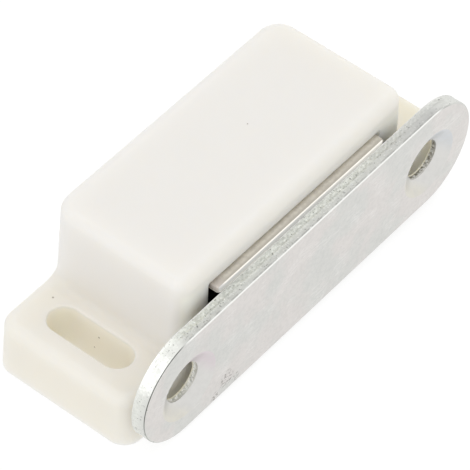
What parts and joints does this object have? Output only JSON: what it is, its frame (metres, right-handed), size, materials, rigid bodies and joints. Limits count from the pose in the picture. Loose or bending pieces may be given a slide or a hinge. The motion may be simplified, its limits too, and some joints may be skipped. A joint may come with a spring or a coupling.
{
  "type": "magnetic cupboard catch",
  "caption": "Magnetic cupboard catch: low moulded housing with slotted ears, a floating magnet between steel pole plates, and a steel strike plate with sunk screw holes.",
  "frame": {"origin": "middle between the two screw slots, on the mounting face of the housing", "axes": "+X along the catch; -Y towards the door, where the strike plate comes to the pole tips; +Z out of the cupboard's side, from the mounting face to the top of the block"},
  "size_m": [0.0468, 0.0178, 0.0154],
  "materials": {
    "moulded_plastic": "off-white, satin",
    "zinc_plate": "zinc plated sheet steel, lightly scratched",
    "pole_steel": "plated, satin",
    "ferrite": "pressed and ground, dull"
  },
  "bodies": {
    "housing_body": {"housing": "moulded_plastic"},
    "magnet_pack": {"magnet": "ferrite", "upper_pole_plate": "pole_steel", "lower_pole_plate": "pole_steel"},
    "strike": {"strike_plate": "zinc_plate"}
  },
  "joints": [
    {"name": "pack_float", "type": "hinge", "parent": "housing_body", "child": "magnet_pack", "pos_m": [0, 0, 0.007], "axis": [0, 0, 1], "range_deg": [-1, 1]},
    {"name": "strike_pull_off", "type": "slide", "parent": "magnet_pack", "child": "strike", "axis": [0, -1, 0], "range_m": [0, 0.03]}
  ]
}
